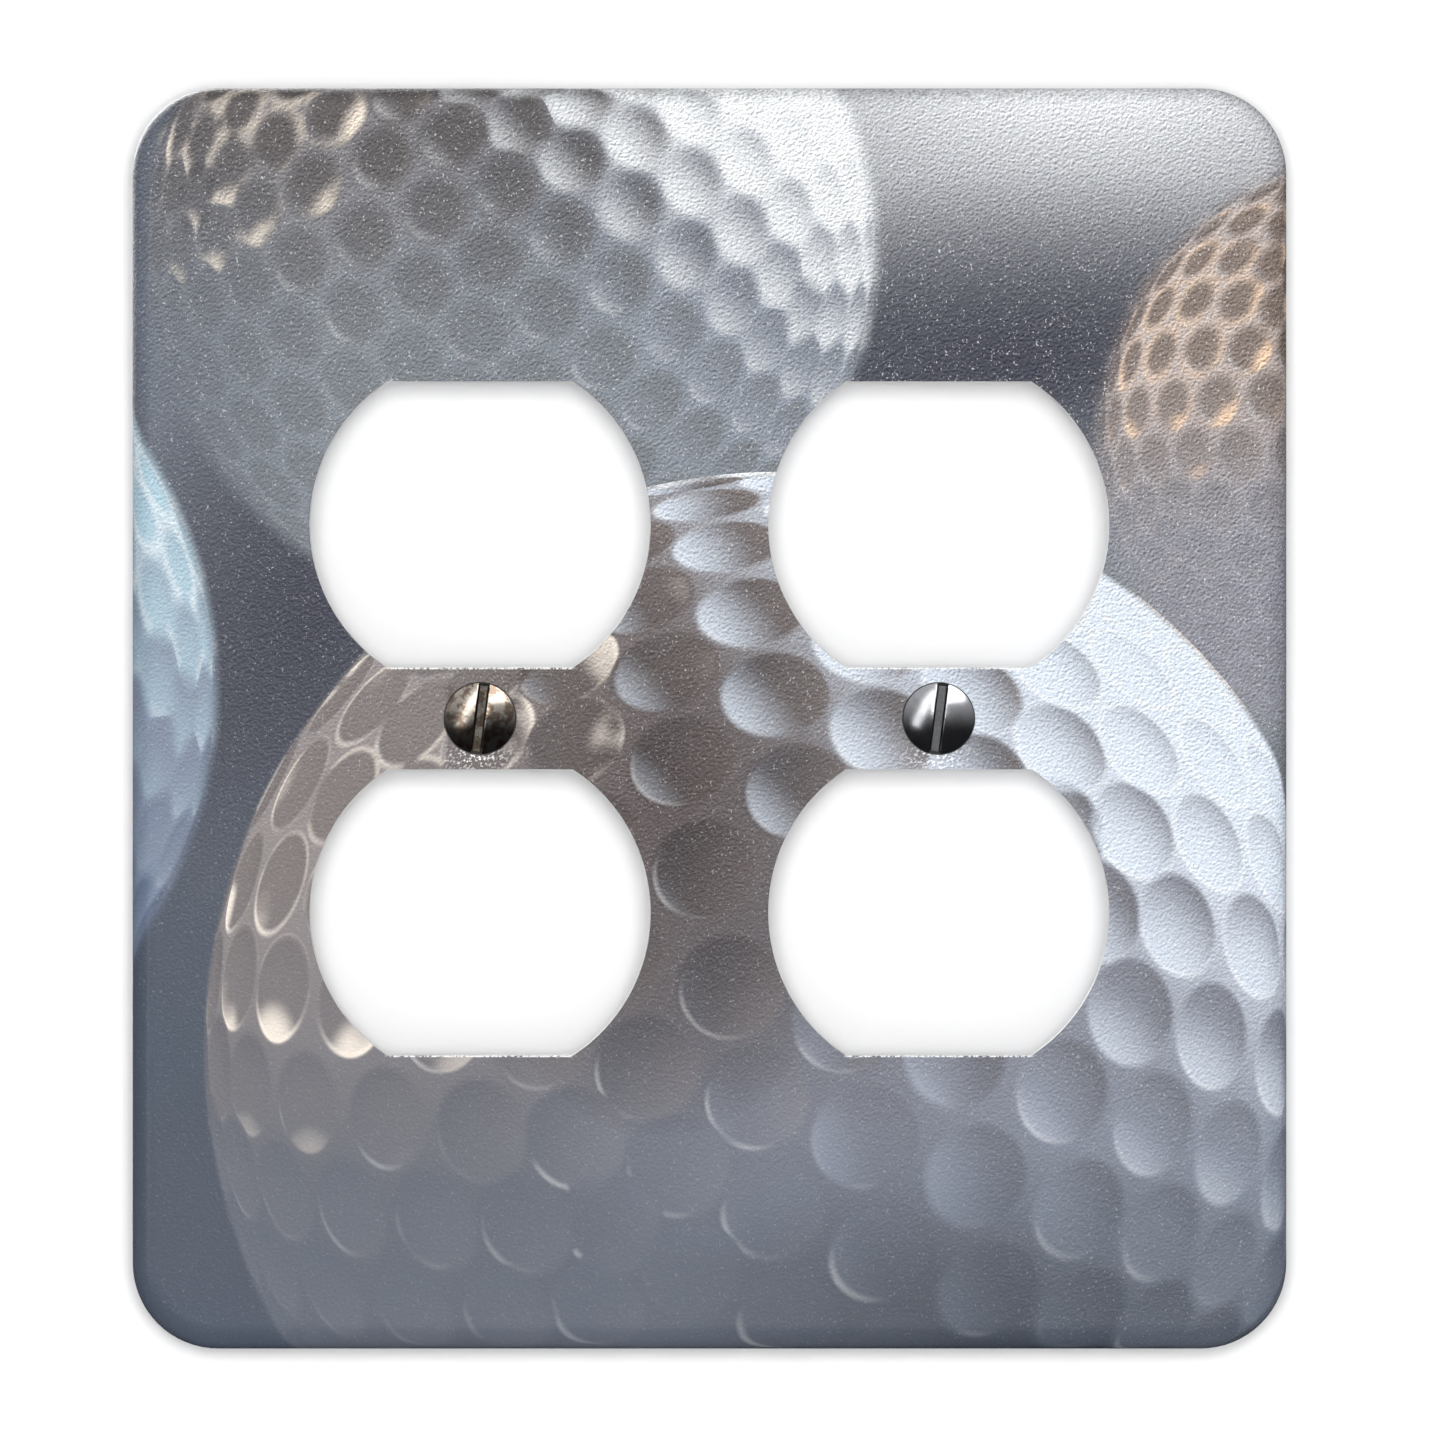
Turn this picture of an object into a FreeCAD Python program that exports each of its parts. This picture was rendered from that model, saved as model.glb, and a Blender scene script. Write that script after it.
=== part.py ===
import FreeCAD, Part
import math
import os

# Two-gang duplex receptacle cover: a stamped steel plate, the printed film laid over its face
# and rolled edge, and the two slotted oval-head screws that hold it. Millimetres and degrees.
# The plate stands upright: +X right and +Z up as seen from the room, +Y into the wall.
# The origin is the middle of the plate, in the plane of its rim, where it meets the wall.

# plate
plate_width = 115.9
plate_height = 126.6
plate_depth = 5.6
sheet_thickness = 1.0
plan_corner_radius = 8.6
edge_roll_radius = 2.2

# printed film
film_thickness = 0.12
film_rim_margin = 1.9
film_cut_margin = 0.06

# receptacle openings: round sides, flat top and bottom
gang_spacing = 46.0
outlet_diameter = 34.1
outlet_flat_height = 28.6
outlet_bridge_height = 10.3

# countersunk screw seats, dimpled into the sheet
seat_wall = 0.85
seat_collar_depth = 0.45
seat_back_fillet = 0.5
seat_clearance = 0.05
screw_hole_clearance = 0.3
film_hole_clearance = 0.04

# screws: number 6, 32 threads to the inch
thread_diameter = 3.505
thread_pitch = 0.794
thread_tip_chamfer = 0.45
screw_length = 12.7
neck_diameter = 2.98
neck_length = 0.7
head_diameter = 7.09
head_cone_angle = 82.0
head_land_height = 0.12
head_dome_height = 1.02
slot_width = 1.1
slot_depth = 1.4
slot_tilt = 7.0

# sizes that follow from those above
outlet_spacing = outlet_flat_height + outlet_bridge_height
steel_face_y = film_thickness - plate_depth
steel_back_y = steel_face_y + sheet_thickness
cone_slope = math.tan(math.radians(head_cone_angle / 2))
cone_cosine = math.cos(math.radians(head_cone_angle / 2))
seat_mouth_radius = head_diameter / 2 + seat_clearance / cone_cosine
screw_hole_radius = thread_diameter / 2 + screw_hole_clearance
seat_depth = (seat_mouth_radius - screw_hole_radius) / cone_slope
seat_end_depth = seat_depth + seat_collar_depth
thread_depth = 0.6134 * thread_pitch
overshoot = 1.0

ALONG_X = FreeCAD.Vector(1, 0, 0)
ALONG_Y = FreeCAD.Vector(0, 1, 0)
ALONG_Z = FreeCAD.Vector(0, 0, 1)


def rolled_block(width, height, corner_radius, front_y, back_y, roll_radius):
    """A rounded rectangular block whose front edge is rolled back all round."""
    corner = FreeCAD.Vector(-width / 2, front_y, -height / 2)
    block = Part.makeBox(width, back_y - front_y, height, corner)
    corners = [edge for edge in block.Edges if edge.BoundBox.YLength > (back_y - front_y) / 2]
    block = block.makeFillet(corner_radius, corners)
    front = [edge for edge in block.Edges if edge.BoundBox.YMax < front_y + 0.001]
    return block.makeFillet(roll_radius, front)


def plate_block(inset, back_y):
    """The plate's outside form, drawn in by the inset on every side but the back."""
    return rolled_block(
        plate_width - 2 * inset,
        plate_height - 2 * inset,
        plan_corner_radius - inset,
        inset - plate_depth,
        back_y,
        edge_roll_radius - inset,
    )


def outlet_prism(centre_x, centre_z, margin):
    """The double-D opening at this centre, grown by the margin all round."""
    start_y = -plate_depth - overshoot
    length = plate_depth + 2 * overshoot
    radius = outlet_diameter / 2 + margin
    flat_height = outlet_flat_height + 2 * margin
    start = FreeCAD.Vector(centre_x, start_y, centre_z)
    disc = Part.makeCylinder(radius, length, start, ALONG_Y)
    corner = FreeCAD.Vector(centre_x - radius - overshoot, start_y, centre_z - flat_height / 2)
    band = Part.makeBox(2 * (radius + overshoot), length, flat_height, corner)
    return disc.common(band)


def outlet_prisms(margin):
    """All four receptacle openings."""
    prisms = []
    for side in (-1, 1):
        for level in (-1, 1):
            centre_x = side * gang_spacing / 2
            centre_z = level * outlet_spacing / 2
            prisms.append(outlet_prism(centre_x, centre_z, margin))
    return prisms


def turned(points, centre_x):
    """Turn a closed outline of (radius, y) points about the screw axis at centre_x."""
    corners = [FreeCAD.Vector(centre_x + radius, y, 0) for radius, y in points]
    outline = Part.Face(Part.makePolygon(corners + corners[:1]))
    return outline.revolve(FreeCAD.Vector(centre_x, 0, 0), ALONG_Y, 360)


def seat_boss(centre_x):
    """The outside of the dimple that the countersink pushes out at the back of the sheet."""
    slant_wall = seat_wall / cone_cosine
    top_radius = seat_mouth_radius + slant_wall - sheet_thickness * cone_slope
    end_radius = seat_mouth_radius + slant_wall - seat_end_depth * cone_slope
    end_y = steel_face_y + seat_end_depth
    inside_y = steel_face_y + sheet_thickness / 2
    outline = [(0, inside_y), (top_radius, inside_y), (top_radius, steel_back_y)]
    outline += [(end_radius, end_y), (0, end_y)]
    return turned(outline, centre_x)


def seat_cutter(centre_x):
    """The conical seat and the screw hole below it."""
    front_y = steel_face_y - overshoot
    mouth_radius = seat_mouth_radius + overshoot * cone_slope
    seat_y = steel_face_y + seat_depth
    through_y = steel_face_y + seat_end_depth + overshoot
    outline = [(0, front_y), (mouth_radius, front_y), (screw_hole_radius, seat_y)]
    outline += [(screw_hole_radius, through_y), (0, through_y)]
    return turned(outline, centre_x)


def soften_seat_backs(shell):
    """Round the bend where each dimple leaves the back of the sheet."""
    bends = []
    for edge in shell.Edges:
        box = edge.BoundBox
        level = abs(box.YMax - steel_back_y) < 0.001 and box.YLength < 0.001
        size = max(box.XLength, box.ZLength)
        if level and edge.Curve.TypeId == "Part::GeomCircle" and size < head_diameter * 1.5:
            bends.append(edge)
    return shell.makeFillet(seat_back_fillet, bends)


def make_plate_shell():
    """The stamped sheet: a shallow tray with rolled edges, four openings and two dimples."""
    outer = plate_block(film_thickness, 0)
    inner = plate_block(film_thickness + sheet_thickness, overshoot)
    shell = outer.cut(inner)
    centres = (-gang_spacing / 2, gang_spacing / 2)
    shell = shell.fuse([seat_boss(x) for x in centres]).removeSplitter()
    shell = soften_seat_backs(shell)
    return shell.cut([seat_cutter(x) for x in centres] + outlet_prisms(0))


def make_printed_film():
    """The thin printed skin over the face and the roll, open where the plate is open."""
    outer = plate_block(0, -film_rim_margin)
    inner = plate_block(film_thickness, 0)
    hole_radius = seat_mouth_radius + film_hole_clearance
    holes = []
    for side in (-1, 1):
        start = FreeCAD.Vector(side * gang_spacing / 2, -plate_depth - overshoot, 0)
        holes.append(Part.makeCylinder(hole_radius, plate_depth, start, ALONG_Y))
    return outer.cut([inner] + holes + outlet_prisms(film_cut_margin))


def screw_blank():
    """The screw before its slot and thread: dome, land, cone, neck and shank, tip towards +Z."""
    head_radius = head_diameter / 2
    neck_radius = neck_diameter / 2
    thread_radius = thread_diameter / 2
    top = -head_land_height - head_dome_height
    neck_start = (head_radius - neck_radius) / cone_slope
    thread_start = neck_start + neck_length
    shoulder = thread_start + thread_radius - neck_radius
    tip = screw_length
    rim = FreeCAD.Vector(head_radius, 0, -head_land_height)
    summit = FreeCAD.Vector(0, 0, top)
    sphere_radius = (head_radius**2 + head_dome_height**2) / (2 * head_dome_height)
    half_angle = math.asin(head_radius / sphere_radius) / 2
    drop = sphere_radius * (1 - math.cos(half_angle))
    middle = FreeCAD.Vector(sphere_radius * math.sin(half_angle), 0, top + drop)
    dome = Part.Arc(summit, middle, rim).toShape()
    points = [rim]
    points.append(FreeCAD.Vector(head_radius, 0, 0))
    points.append(FreeCAD.Vector(neck_radius, 0, neck_start))
    points.append(FreeCAD.Vector(neck_radius, 0, thread_start))
    points.append(FreeCAD.Vector(thread_radius, 0, shoulder))
    points.append(FreeCAD.Vector(thread_radius, 0, tip - thread_tip_chamfer))
    points.append(FreeCAD.Vector(thread_radius - thread_tip_chamfer, 0, tip))
    points.append(FreeCAD.Vector(0, 0, tip))
    points.append(summit)
    outline = Part.Wire([dome] + Part.makePolygon(points).Edges)
    return Part.Face(outline).revolve(FreeCAD.Vector(0, 0, 0), ALONG_Z, 360)


def thread_groove():
    """The helical groove between the thread's crests, running off the tip."""
    thread_radius = thread_diameter / 2
    root_radius = thread_radius - thread_depth
    outside = thread_pitch / 16
    flank = math.tan(math.radians(30))
    root_half = thread_pitch * 7 / 16 - thread_depth * flank
    mouth_half = root_half + (thread_depth + outside) * flank
    start = (head_diameter - neck_diameter) / 2 / cone_slope + neck_length + thread_pitch / 2
    length = screw_length - start + thread_pitch
    helix = Part.makeHelix(thread_pitch, length, root_radius)
    corners = [
        FreeCAD.Vector(root_radius, 0, -root_half),
        FreeCAD.Vector(thread_radius + outside, 0, -mouth_half),
        FreeCAD.Vector(thread_radius + outside, 0, mouth_half),
        FreeCAD.Vector(root_radius, 0, root_half),
    ]
    profile = Part.makePolygon(corners + corners[:1])
    groove = Part.Wire(helix.Edges).makePipeShell([profile], True, True)
    groove.translate(FreeCAD.Vector(0, 0, start))
    return groove


def slot_cutter():
    """The driver slot, straight across the head."""
    top = -head_land_height - head_dome_height
    length = head_diameter + 2 * overshoot
    corner = FreeCAD.Vector(-slot_width / 2, -length / 2, top - overshoot)
    cutter = Part.makeBox(slot_width, length, slot_depth + overshoot, corner)
    cutter.rotate(FreeCAD.Vector(0, 0, 0), ALONG_Z, slot_tilt)
    return cutter


def make_screw(centre_x):
    """One oval-head screw, seated in the plate with its tip towards the wall."""
    screw = screw_blank().cut([thread_groove(), slot_cutter()])
    screw.rotate(FreeCAD.Vector(0, 0, 0), ALONG_X, -90)
    screw.translate(FreeCAD.Vector(centre_x, steel_face_y, 0))
    return screw


def only_solid(shape, name):
    """The single solid a node is made of."""
    if len(shape.Solids) != 1:
        raise ValueError(name + " is not one solid")
    return shape.Solids[0]


def write_nodes(nodes):
    """Write each node to its own STEP file."""
    os.makedirs("parts", exist_ok=True)
    for name, shape in nodes.items():
        only_solid(shape, name).exportStep("parts/" + name + ".step")


write_nodes(
    {
        "plate_shell": make_plate_shell(),
        "printed_film": make_printed_film(),
        "left_screw": make_screw(-gang_spacing / 2),
        "right_screw": make_screw(gang_spacing / 2),
    }
)
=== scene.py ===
import math

import bmesh
import bpy
from bpy.props import FloatProperty, FloatVectorProperty, PointerProperty
from mathutils import Euler, Matrix, Vector


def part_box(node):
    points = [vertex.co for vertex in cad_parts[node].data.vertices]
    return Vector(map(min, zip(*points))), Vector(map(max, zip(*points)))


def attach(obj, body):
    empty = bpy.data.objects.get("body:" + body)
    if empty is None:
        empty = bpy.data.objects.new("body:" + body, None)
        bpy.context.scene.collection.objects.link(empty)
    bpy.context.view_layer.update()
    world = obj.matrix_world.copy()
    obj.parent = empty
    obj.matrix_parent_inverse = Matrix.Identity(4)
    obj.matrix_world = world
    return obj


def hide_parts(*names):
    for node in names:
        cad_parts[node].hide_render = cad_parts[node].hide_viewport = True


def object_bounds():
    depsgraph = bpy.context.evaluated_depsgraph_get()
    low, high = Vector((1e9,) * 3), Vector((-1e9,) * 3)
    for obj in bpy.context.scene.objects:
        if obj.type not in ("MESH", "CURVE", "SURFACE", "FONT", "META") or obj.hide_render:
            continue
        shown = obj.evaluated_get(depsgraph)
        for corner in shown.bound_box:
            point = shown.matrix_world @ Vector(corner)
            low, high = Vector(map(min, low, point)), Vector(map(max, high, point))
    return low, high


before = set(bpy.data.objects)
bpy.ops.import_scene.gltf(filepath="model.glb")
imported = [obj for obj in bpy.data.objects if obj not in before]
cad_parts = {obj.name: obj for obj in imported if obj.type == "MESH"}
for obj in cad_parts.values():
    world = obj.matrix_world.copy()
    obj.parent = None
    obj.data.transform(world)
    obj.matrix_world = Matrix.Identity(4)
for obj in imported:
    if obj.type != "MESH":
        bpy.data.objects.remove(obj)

bl_info = {
    "name": "Printed wall plate",
    "version": (1, 0, 0),
    "blender": (4, 5, 0),
    "location": "View3D > Sidebar > Wall plate",
    "description": "Builds a two-gang receptacle cover: stamped plate, printed film and oval-head screws",
    "category": "Add Mesh",
}

# The plate stands in front of a wall: +X right, +Z up, +Y into the wall, rim in the plane Y = 0.
# Shapes are worked in millimetres and brought to metres when a piece is finished.
METRES = 0.001
CAD_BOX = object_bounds()
PLATE_LOW, PLATE_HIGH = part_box("printed_film")
SHELL_LOW, SHELL_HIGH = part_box("plate_shell")
SCREW_LOW, SCREW_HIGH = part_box("right_screw")
TOWARDS_ROOM = Matrix.Rotation(math.radians(90), 4, "X")


def length(name, description, default_mm):
    """A size a user can change, kept in metres."""
    return FloatProperty(
        name=name, description=description, default=default_mm * METRES, min=0.0,
        precision=5, unit="LENGTH", subtype="DISTANCE",
    )


def colour(name, description, default):
    """A colour a user can change."""
    return FloatVectorProperty(
        name=name, description=description, default=default, size=3, min=0.0, max=1.0, subtype="COLOR",
    )


class PlateSizes(bpy.types.PropertyGroup):
    """Sizes of the stamped plate and its film."""

    corner: length("Corner radius", "Radius of the plate's corners seen from the front", 8.6)
    roll: length("Edge roll", "Radius of the rolled front edge", 2.2)
    sheet: length("Sheet", "Thickness of the steel sheet", 1.0)
    gang_spacing: length("Gang spacing", "Distance between the two columns of openings", 46.0)
    outlet_spacing: length("Outlet spacing", "Height between the openings of one gang", 38.9)
    outlet_diameter: length("Outlet diameter", "Across the round sides of an opening", 34.1)
    outlet_flats: length("Outlet flats", "Height between an opening's flats", 28.6)
    punch_round: length("Punch rounding", "Rounding of the sheet where an opening is punched", 0.1)
    film_margin: length("Film margin", "How far the film stops short of a cut edge", 0.06)
    seat_wall: length("Seat wall", "Wall of the dimpled screw seat", 0.85)
    seat_collar: length("Seat collar", "Straight part below the conical seat", 0.45)


class ScrewSizes(bpy.types.PropertyGroup):
    """Sizes of the oval-head screws."""

    head: length("Head diameter", "Across the head", 7.09)
    land: length("Head land", "Straight rim between the cone and the dome", 0.12)
    dome: length("Dome height", "Height of the oval top above its rim", 1.02)
    slot_width: length("Slot width", "Width of the driver slot", 1.1)
    slot_depth: length("Slot depth", "Depth of the driver slot at its middle", 1.4)
    thread: length("Thread diameter", "Outside diameter of the thread", 3.505)
    pitch: length("Pitch", "Distance between thread crests", 0.794)
    neck: length("Neck diameter", "Diameter of the plain neck", 2.98)
    neck_length: length("Neck length", "Length of the plain neck", 0.7)
    total: length("Length", "From the head's rim to the tip", 12.7)
    tip_chamfer: length("Tip chamfer", "Chamfer of the tip", 0.45)
    slot_tilt: FloatProperty(
        name="Slot tilt", description="Lean of the driver slot from upright",
        default=math.radians(7), unit="ROTATION", subtype="ANGLE",
    )
    hole_room: length("Hole room", "Room round the thread in the plate's hole", 0.3)
    seat_room: length("Seat room", "Room between the cone and its seat", 0.05)


class Finishes(bpy.types.PropertyGroup):
    """Colours of the coat, print and plating."""

    coat: colour("Base coat", "Baked coat on the steel", (0.78, 0.78, 0.765))
    nickel: colour("Nickel", "Plating of the screws", (0.66, 0.645, 0.62))


class StageLook(bpy.types.PropertyGroup):
    """Colours and brightness of the stage."""

    floor: colour("Floor", "Pale floor", (0.82, 0.82, 0.83))
    key: FloatProperty(name="Key light", description="Power of the key light", default=8.0, unit="POWER")
    fill: FloatProperty(name="Fill light", description="Power of the fill light", default=3.0, unit="POWER")


def mm(value):
    """A stored size in millimetres."""
    return value / METRES


# ---------------------------------------------------------------- shaping

CORNER_STEPS = 16
ROLL_STEPS = 7
OUTLET_STEPS = 128
SEAT_STEPS = 96
HEAD_STEPS = 128
THREAD_STEPS = 32


def round_edges(mesh, edges, size, steps):
    """Round these edges over."""
    bmesh.ops.bevel(
        mesh, geom=edges, offset=size, offset_type="OFFSET", segments=steps, profile=0.5,
        affect="EDGES", material=-1,
    )


def flat_face_at(faces, y):
    """The largest flat face standing at this depth."""
    flat = [face for face in faces if all(abs(vert.co.y - y) < 1e-4 for vert in face.verts)]
    return max(flat, key=lambda face: face.calc_area())


def open_face(mesh, face):
    """Leave a narrow flat border, take out the face inside it and return the opening's edges."""
    bmesh.ops.inset_region(mesh, faces=[face], thickness=0.5, use_even_offset=True)
    edges = list(face.edges)
    bmesh.ops.delete(mesh, geom=[face], context="FACES_ONLY")
    return edges


def add_tray(mesh, width, height, corner, roll, wall, front, back):
    """A shallow tray, open at the back, with rolled edges. Returns the two loops its faces fill."""
    made = bmesh.ops.create_grid(mesh, x_segments=1, y_segments=1, size=0.5, matrix=TOWARDS_ROOM)
    bmesh.ops.scale(mesh, vec=(width, 1, height), verts=made["verts"])
    bmesh.ops.translate(mesh, vec=(0, front, 0), verts=made["verts"])
    bmesh.ops.bevel(
        mesh, geom=made["verts"], offset=corner, offset_type="OFFSET", segments=CORNER_STEPS,
        profile=0.5, affect="VERTICES", material=-1,
    )
    outline = list(mesh.edges)
    walls = bmesh.ops.extrude_edge_only(mesh, edges=outline)
    back_verts = [item for item in walls["geom"] if isinstance(item, bmesh.types.BMVert)]
    bmesh.ops.translate(mesh, vec=(0, back - front, 0), verts=back_verts)
    round_edges(mesh, outline, roll, ROLL_STEPS)
    rim = [edge for edge in mesh.edges if edge.is_boundary]
    hollow = bmesh.ops.contextual_create(mesh, geom=rim)["faces"][0]
    bmesh.ops.inset_region(mesh, faces=[hollow], thickness=wall, use_even_offset=True)
    sunk = bmesh.ops.extrude_face_region(mesh, geom=[hollow])["geom"]
    bmesh.ops.delete(mesh, geom=[hollow], context="FACES_ONLY")
    sunk_verts = [item for item in sunk if isinstance(item, bmesh.types.BMVert)]
    bmesh.ops.translate(mesh, vec=(0, front + wall - back, 0), verts=sunk_verts)
    hollow = flat_face_at(mesh.faces, front + wall)
    round_edges(mesh, list(hollow.edges), roll - wall, ROLL_STEPS)
    front_edges = open_face(mesh, flat_face_at(mesh.faces, front))
    back_edges = open_face(mesh, flat_face_at(mesh.faces, front + wall))
    return front_edges, back_edges


def outlet_loop(mesh, centre_x, centre_z, radius, half_flats, y):
    """The outline of one opening: a circle with its top and bottom cut flat."""
    place = Matrix.Translation((centre_x, y, centre_z)) @ TOWARDS_ROOM
    made = bmesh.ops.create_circle(
        mesh, cap_ends=True, segments=OUTLET_STEPS, radius=radius, matrix=place
    )
    face = made["verts"][0].link_faces[0]
    for side in (-1, 1):
        cut = bmesh.ops.bisect_plane(
            mesh, geom=[face] + list(face.edges) + list(face.verts), dist=1e-5,
            plane_co=(0, 0, centre_z + side * half_flats), plane_no=(0, 0, side), clear_outer=True,
        )
        edges = [item for item in cut["geom_cut"] if isinstance(item, bmesh.types.BMEdge)]
        face = edges[0].link_faces[0]
    loop = list(face.edges)
    bmesh.ops.delete(mesh, geom=[face], context="FACES_ONLY")
    return loop


def ring_loop(mesh, centre_x, radius, y, steps=SEAT_STEPS):
    """A circle about a screw axis."""
    place = Matrix.Translation((centre_x, y, 0)) @ TOWARDS_ROOM
    made = bmesh.ops.create_circle(mesh, cap_ends=False, segments=steps, radius=radius, matrix=place)
    return list({edge for vert in made["verts"] for edge in vert.link_edges})


def stitch(mesh, loops):
    """Join each loop to the next with a band of faces."""
    made = []
    for first, second in zip(loops, loops[1:]):
        made.append(bmesh.ops.bridge_loops(mesh, edges=first + second)["faces"])
    return made


def fill_flat(mesh, loops, facing):
    """Fill the flat face between an outline and the openings inside it."""
    edges = [edge for loop in loops for edge in loop]
    bmesh.ops.triangle_fill(mesh, use_beauty=True, use_dissolve=False, edges=edges, normal=facing)


def outlet_centres(sizes):
    """Centres of the four openings."""
    across = mm(sizes.gang_spacing) / 2
    up = mm(sizes.outlet_spacing) / 2
    return [(side * across, level * up) for side in (-1, 1) for level in (-1, 1)]


def add_piece(name, mesh, bodies_name, materials, sharp_degrees=32):
    """Turn a finished mesh into a piece at its place in the frame."""
    bmesh.ops.scale(mesh, vec=(METRES, METRES, METRES), verts=mesh.verts)
    data = bpy.data.meshes.new(name)
    mesh.to_mesh(data)
    mesh.free()
    for polygon in data.polygons:
        polygon.use_smooth = True
    data.set_sharp_from_angle(angle=math.radians(sharp_degrees))
    for material in materials:
        data.materials.append(material)
    piece = bpy.data.objects.new(name, data)
    bpy.context.scene.collection.objects.link(piece)
    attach(piece, bodies_name)
    return piece


def seat_sizes(screw):
    """Radii and depths of the conical screw seat, from the steel's face."""
    half_angle = math.radians(41)
    mouth = mm(screw.head) / 2 + mm(screw.seat_room) / math.cos(half_angle)
    hole = mm(screw.thread) / 2 + mm(screw.hole_room)
    depth = (mouth - hole) / math.tan(half_angle)
    return mouth, hole, depth, half_angle


def shell_mesh(plate, screw):
    """The stamped tray: two skins joined at the rim, the openings and the screw seats."""
    mesh = bmesh.new()
    width = mm(SHELL_HIGH.x - SHELL_LOW.x)
    height = mm(SHELL_HIGH.z - SHELL_LOW.z)
    film = mm(PLATE_HIGH.x - SHELL_HIGH.x)
    front = mm(SHELL_LOW.y)
    sheet = mm(plate.sheet)
    back = front + sheet
    corner = mm(plate.corner) - film
    roll = mm(plate.roll) - film
    rounding = mm(plate.punch_round)
    radius = mm(plate.outlet_diameter) / 2
    half_flats = mm(plate.outlet_flats) / 2
    outer_face, inner_face = add_tray(mesh, width, height, corner, roll, sheet, front, 0)
    rim_edges = [edge for edge in mesh.edges if all(abs(vert.co.y) < 1e-4 for vert in edge.verts)]
    rim_edges = [edge for edge in rim_edges if any(abs(face.normal.y) < 0.5 for face in edge.link_faces)]
    round_edges(mesh, rim_edges, 0.12, 2)
    front_loops = [outer_face]
    back_loops = [inner_face]
    for centre_x, centre_z in outlet_centres(plate):
        steps = []
        for grow, drop in ((1.0, 0.0), (0.3, 0.3), (0.0, 1.0)):
            extra = grow * rounding
            steps.append(
                outlet_loop(
                    mesh, centre_x, centre_z, radius + extra, half_flats + extra, front + drop * rounding
                )
            )
        steps.append(outlet_loop(mesh, centre_x, centre_z, radius, half_flats, back))
        stitch(mesh, steps)
        front_loops.append(steps[0])
        back_loops.append(steps[-1])
    mouth, hole, depth, half_angle = seat_sizes(screw)
    slant = mm(plate.seat_wall) / math.cos(half_angle)
    end = depth + mm(plate.seat_collar)
    bend_radius = mouth + slant - sheet * math.tan(half_angle)
    end_radius = mouth + slant - end * math.tan(half_angle)
    for side in (-1, 1):
        centre_x = side * mm(plate.gang_spacing) / 2
        seat = [
            ring_loop(mesh, centre_x, mouth, front),
            ring_loop(mesh, centre_x, hole, front + depth),
            ring_loop(mesh, centre_x, hole, front + end),
            ring_loop(mesh, centre_x, end_radius, front + end),
            ring_loop(mesh, centre_x, bend_radius, back),
            ring_loop(mesh, centre_x, bend_radius + 0.9, back),
        ]
        stitch(mesh, seat)
        round_edges(mesh, seat[4], 0.3, 5)
        round_edges(mesh, seat[3], 0.12, 2)
        front_loops.append(seat[0])
        back_loops.append(seat[5])
    fill_flat(mesh, front_loops, (0, -1, 0))
    fill_flat(mesh, back_loops, (0, 1, 0))
    bmesh.ops.recalc_face_normals(mesh, faces=mesh.faces)
    return mesh


def film_mesh(plate, screw):
    """The printed film: a thin skin over the face, the roll and most of the side."""
    mesh = bmesh.new()
    width = mm(PLATE_HIGH.x - PLATE_LOW.x)
    height = mm(PLATE_HIGH.z - PLATE_LOW.z)
    front = mm(PLATE_LOW.y)
    back = mm(PLATE_HIGH.y)
    thickness = mm(PLATE_HIGH.x - SHELL_HIGH.x) - 0.005
    margin = mm(plate.film_margin)
    radius = mm(plate.outlet_diameter) / 2 + margin
    half_flats = mm(plate.outlet_flats) / 2 + margin
    outer_face, inner_face = add_tray(
        mesh, width, height, mm(plate.corner), mm(plate.roll), thickness, front, back
    )
    front_loops = [outer_face]
    back_loops = [inner_face]
    soft = 0.04
    for centre_x, centre_z in outlet_centres(plate):
        loops = [
            outlet_loop(mesh, centre_x, centre_z, radius + soft, half_flats + soft, front),
            outlet_loop(mesh, centre_x, centre_z, radius, half_flats, front + soft),
            outlet_loop(mesh, centre_x, centre_z, radius, half_flats, front + thickness),
        ]
        stitch(mesh, loops)
        front_loops.append(loops[0])
        back_loops.append(loops[-1])
    mouth = seat_sizes(screw)[0] + 0.04
    for side in (-1, 1):
        centre_x = side * mm(plate.gang_spacing) / 2
        loops = [
            ring_loop(mesh, centre_x, mouth + soft, front),
            ring_loop(mesh, centre_x, mouth, front + soft),
            ring_loop(mesh, centre_x, mouth, front + thickness),
        ]
        stitch(mesh, loops)
        front_loops.append(loops[0])
        back_loops.append(loops[-1])
    fill_flat(mesh, front_loops, (0, -1, 0))
    fill_flat(mesh, back_loops, (0, 1, 0))
    bmesh.ops.recalc_face_normals(mesh, faces=mesh.faces)
    return mesh


def face_outwards(mesh):
    """Turn the faces of a closed mesh to face outwards."""
    bmesh.ops.recalc_face_normals(mesh, faces=mesh.faces)
    if mesh.calc_volume(signed=True) < 0:
        bmesh.ops.reverse_faces(mesh, faces=mesh.faces)


def chain(mesh, points):
    """A line of edges through these (radius, y) points, in the plane Z = 0."""
    verts = [mesh.verts.new((radius, y, 0)) for radius, y in points]
    edges = [mesh.edges.new(pair) for pair in zip(verts, verts[1:])]
    return verts, edges


def lathe(mesh, geometry, steps):
    """Turn a profile once about the Y axis and weld it."""
    bmesh.ops.spin(
        mesh, geom=geometry, cent=(0, 0, 0), axis=(0, 1, 0), dvec=(0, 0, 0),
        angle=math.tau, steps=steps, use_merge=True, use_duplicate=False,
    )
    bmesh.ops.remove_doubles(mesh, verts=mesh.verts, dist=1e-4)


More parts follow.
